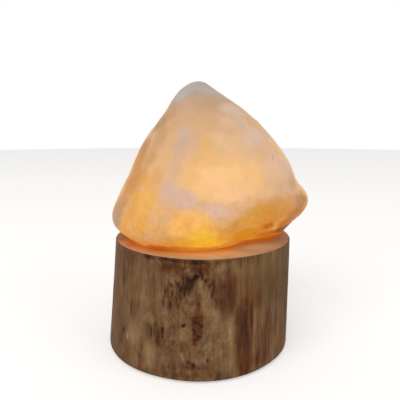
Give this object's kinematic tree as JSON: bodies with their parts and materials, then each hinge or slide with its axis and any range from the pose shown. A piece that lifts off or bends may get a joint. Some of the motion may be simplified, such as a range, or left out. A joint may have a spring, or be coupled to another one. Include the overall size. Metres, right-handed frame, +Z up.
{
  "type": "salt crystal lamp",
  "caption": "Salt crystal lamp: a rounded, glowing lump of rock salt on a short debarked log, hollowed from below for a small screw-in bulb on a slide-out holder.",
  "frame": {"origin": "on the surface that the lamp stands on, on the axis of the bore, which is the middle of the lamp's footprint", "axes": "+Z up along the bore, -Y to the lamp's front, +X to the right seen from the front"},
  "size_m": [0.1509, 0.1372, 0.1946],
  "materials": {
    "log_wood": "matte",
    "felt": "matte",
    "brass_strip": "satin",
    "screw_steel": "satin",
    "rock_salt": "satin",
    "nylon": "matte",
    "holder_plastic": "satin",
    "screw_nylon": "satin",
    "spring_steel": "satin",
    "porcelain": "satin",
    "brass": "satin",
    "phosphor_bronze": "satin",
    "nickel_cap": "satin",
    "black_glass": "gloss",
    "solder": "satin",
    "clear_glass": "gloss",
    "stem_glass": "gloss",
    "lead_wire": "satin",
    "tungsten": "matte"
  },
  "bodies": {
    "base": {"log_base": "log_wood", "felt_pads": "felt", "cord_keeper": "brass_strip", "keeper_screws": "screw_steel", "salt_crystal": "rock_salt", "crystal_plugs": "nylon", "fixing_screws": "screw_steel", "screw_washers": "screw_steel"},
    "holder": {"holder_sleeve": "holder_plastic", "holder_cap": "holder_plastic", "cord_grip_screw": "screw_nylon", "ring_nut": "holder_plastic", "retaining_spring": "spring_steel", "contact_block": "porcelain", "terminals": "brass", "terminal_screws": "screw_steel", "screw_shell": "brass", "centre_contact": "phosphor_bronze"},
    "bulb": {"bulb_cap": "nickel_cap", "bulb_insulator": "black_glass", "bulb_tip": "solder", "bulb_glass": "clear_glass", "bulb_stem": "stem_glass", "bulb_leads": "lead_wire", "filament": "tungsten"}
  },
  "joints": [
    {"name": "holder_slide", "type": "slide", "parent": "base", "child": "holder", "axis": [0, 0, -1], "range_m": [0, 0.12]},
    {"name": "bulb_turn", "type": "hinge", "parent": "holder", "child": "bulb", "pos_m": [0, 0, 0.07], "axis": [0, 0, 1], "range_deg": [0, 1260]}
  ]
}
